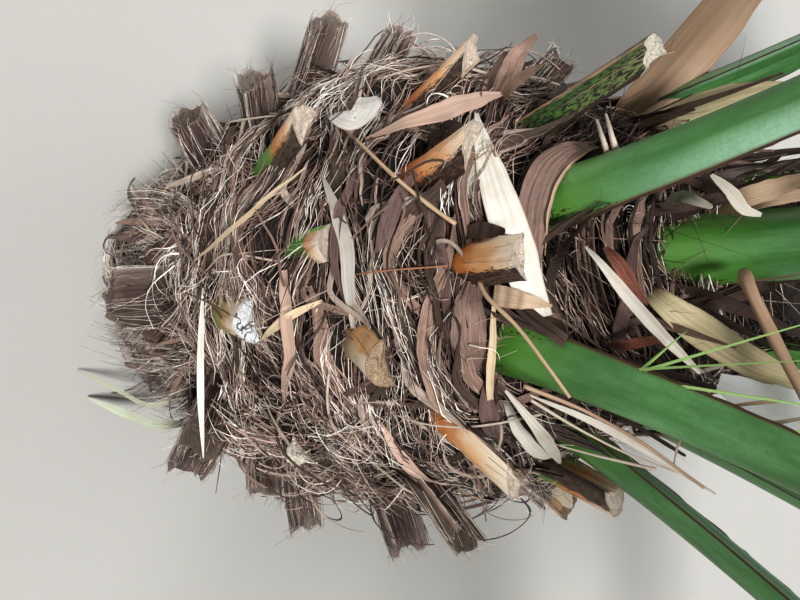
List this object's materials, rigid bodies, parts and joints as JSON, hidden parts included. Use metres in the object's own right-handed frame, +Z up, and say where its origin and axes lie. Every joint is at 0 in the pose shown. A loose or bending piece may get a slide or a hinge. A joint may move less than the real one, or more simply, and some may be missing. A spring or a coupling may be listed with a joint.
{
  "type": "young date palm",
  "caption": "Young date palm rooted in the ground: a stout fibre-wrapped trunk set with cut leaf bases, and a full crown of arching feather leaves.",
  "frame": {"origin": "middle of the flat cut under the trunk, at ground level", "axes": "+Z up; -Y is the side that the reference view looks at"},
  "size_m": [3.3481, 2.9418, 2.4985],
  "materials": {
    "trunk_fibre": "matt woven brown fibre with pale strands",
    "leaf_base": "matt weathered brown to orange leaf base with a pale sawn face",
    "stalk": "smooth waxy green with thin brown margins",
    "leaflet": "satin green leaflet",
    "dry_leaf": "dry papery cream to tan"
  },
  "bodies": {
    "root": {"trunk": "trunk_fibre", "boot_01": "leaf_base", "boot_02": "leaf_base", "boot_03": "leaf_base", "boot_04": "leaf_base", "boot_05": "leaf_base", "boot_06": "leaf_base", "boot_07": "leaf_base", "boot_08": "leaf_base", "boot_09": "leaf_base", "boot_10": "leaf_base", "boot_11": "leaf_base", "boot_12": "leaf_base", "boot_13": "leaf_base", "boot_14": "leaf_base", "boot_15": "leaf_base", "boot_16": "leaf_base", "boot_17": "leaf_base", "boot_18": "leaf_base", "boot_19": "leaf_base", "boot_20": "leaf_base", "boot_21": "leaf_base", "boot_22": "leaf_base", "boot_23": "leaf_base", "boot_24": "leaf_base", "boot_25": "leaf_base", "boot_26": "leaf_base", "boot_27": "leaf_base", "boot_28": "leaf_base", "boot_29": "leaf_base", "frond_01_stalk": "stalk", "frond_01_blade": "leaflet", "frond_02_stalk": "stalk", "frond_02_blade": "leaflet", "frond_03_stalk": "stalk", "frond_03_blade": "leaflet", "frond_04_stalk": "stalk", "frond_04_blade": "leaflet", "frond_05_stalk": "stalk", "frond_05_blade": "leaflet", "frond_06_stalk": "stalk", "frond_06_blade": "leaflet", "frond_07_stalk": "stalk", "frond_07_blade": "leaflet", "frond_08_stalk": "stalk", "frond_08_blade": "leaflet", "frond_09_stalk": "stalk", "frond_09_blade": "leaflet", "frond_10_stalk": "stalk", "frond_10_blade": "leaflet", "frond_11_stalk": "stalk", "frond_11_blade": "leaflet", "frond_12_stalk": "stalk", "frond_12_blade": "leaflet", "frond_13_stalk": "stalk", "frond_13_blade": "leaflet", "spear_leaf": "leaflet", "dry_leaf_01": "dry_leaf", "dry_leaf_02": "dry_leaf", "dry_leaf_03": "dry_leaf"}
  },
  "joints": []
}
